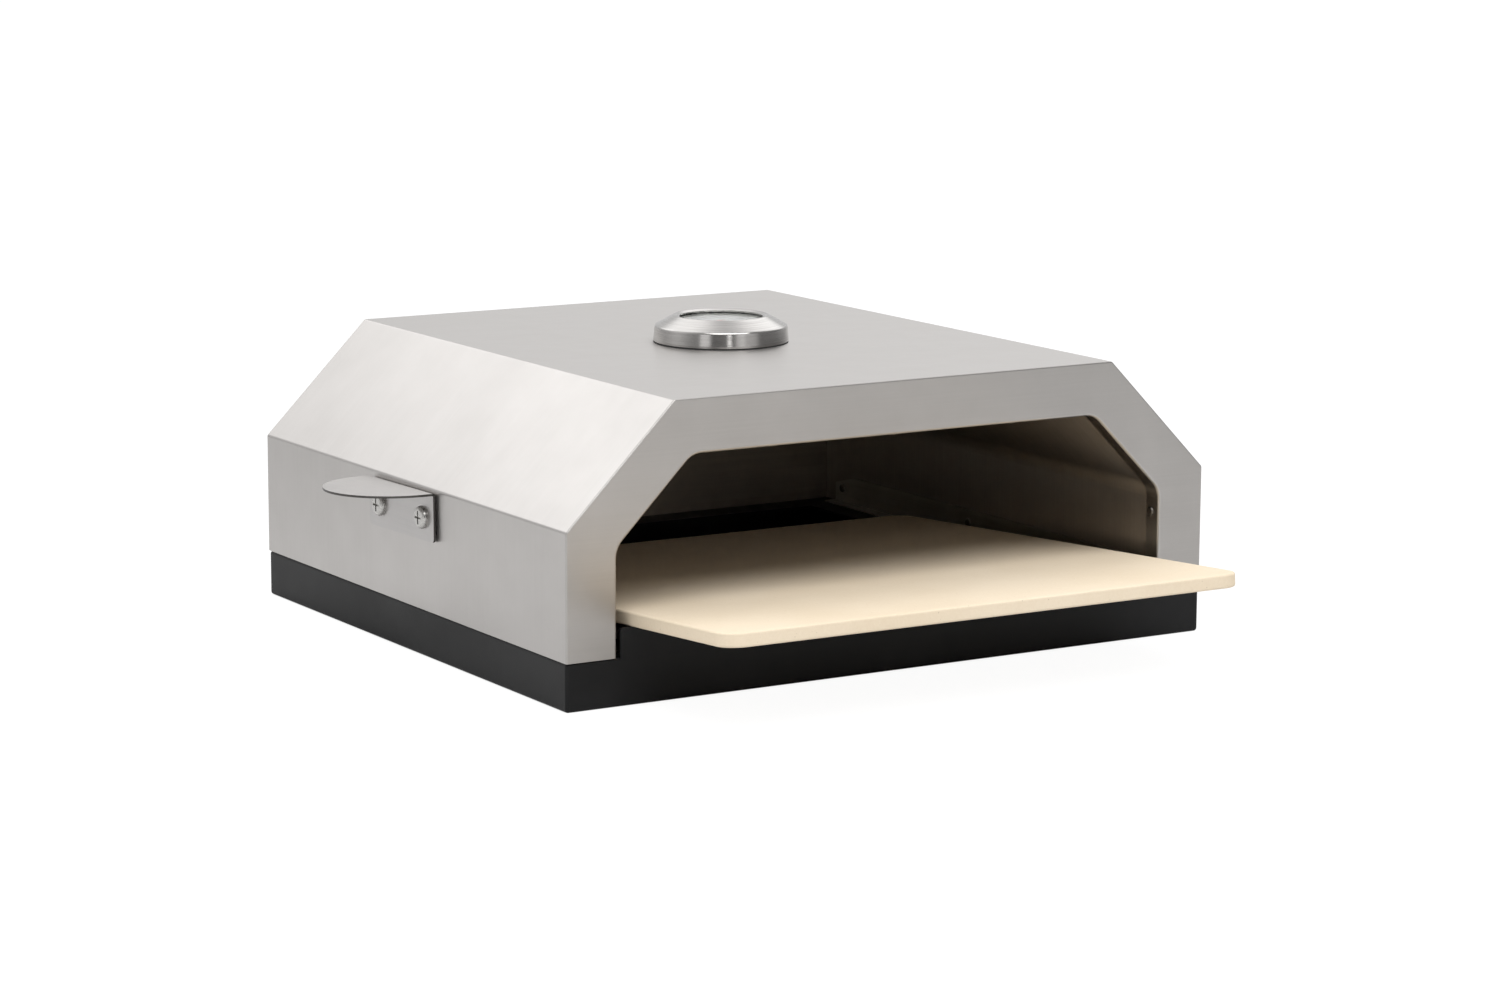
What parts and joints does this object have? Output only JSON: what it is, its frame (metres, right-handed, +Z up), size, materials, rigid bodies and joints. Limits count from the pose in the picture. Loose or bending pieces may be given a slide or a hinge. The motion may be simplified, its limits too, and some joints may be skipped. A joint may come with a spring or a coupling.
{
  "type": "tabletop pizza oven",
  "caption": "Low double-skinned steel pizza oven with sloped shoulders and an open mouth; its baking stone slides out over a lip, with side handles and a dial thermometer on top.",
  "frame": {"origin": "on the surface it stands on, under the middle of the whole object with the stone drawn out", "axes": "+X to the oven's right seen from the front, +Y to its back, +Z up"},
  "size_m": [0.4892, 0.4541, 0.1705],
  "materials": {
    "hood_steel": "brushed along the oven, satin",
    "liner_steel": "mill finish, slightly tarnished by heat",
    "black_coat": "semi-matte heat-resistant powder coat",
    "baking_stone": "unglazed cordierite, fine open grain",
    "handle_steel": "satin",
    "bright_fastener": "bright",
    "zinc_fastener": "zinc plated",
    "gasket_rubber": "matte",
    "bezel_steel": "turned and brushed round its axis",
    "case_steel": "satin",
    "dial_face": "matte white with a printed scale",
    "glass": "clear, flat",
    "needle_paint": "satin red",
    "brass": "bare brass",
    "bimetal": "bare bimetal wire"
  },
  "bodies": {
    "oven": {"hood_wrapper": "hood_steel", "front_panel": "hood_steel", "rear_panel": "hood_steel", "oven_liner": "liner_steel", "liner_rear_panel": "liner_steel", "left_rail": "liner_steel", "right_rail": "liner_steel", "base_frame": "black_coat", "left_handle": "handle_steel", "right_handle": "handle_steel", "handle_screws": "bright_fastener", "handle_washers": "bright_fastener", "handle_nuts": "zinc_fastener", "flange_rivets": "bright_fastener", "rear_rivets": "zinc_fastener", "rail_rivets": "bright_fastener", "rail_foot_rivets": "bright_fastener", "hood_screws": "zinc_fastener", "hood_nuts": "zinc_fastener", "thermometer_gasket": "gasket_rubber", "thermometer_bezel": "bezel_steel", "thermometer_case": "case_steel", "dial_plate": "dial_face", "glass_lens": "glass", "bimetal_coil": "bimetal", "stem_tube": "case_steel", "mounting_washer": "zinc_fastener", "mounting_nut": "brass"},
    "stone": {"baking_stone": "baking_stone"},
    "needle": {"needle": "needle_paint", "needle_staff": "brass"}
  },
  "joints": [
    {"name": "stone_slide", "type": "slide", "parent": "oven", "child": "stone", "axis": [-0.0141, -0.9978, 0.0653], "range_m": [0, 0.25]},
    {"name": "needle_turn", "type": "hinge", "parent": "oven", "child": "needle", "pos_m": [-0.0054, 0.04658, 0.1652], "axis": [0, 0, -1], "range_deg": [0, 270]}
  ]
}
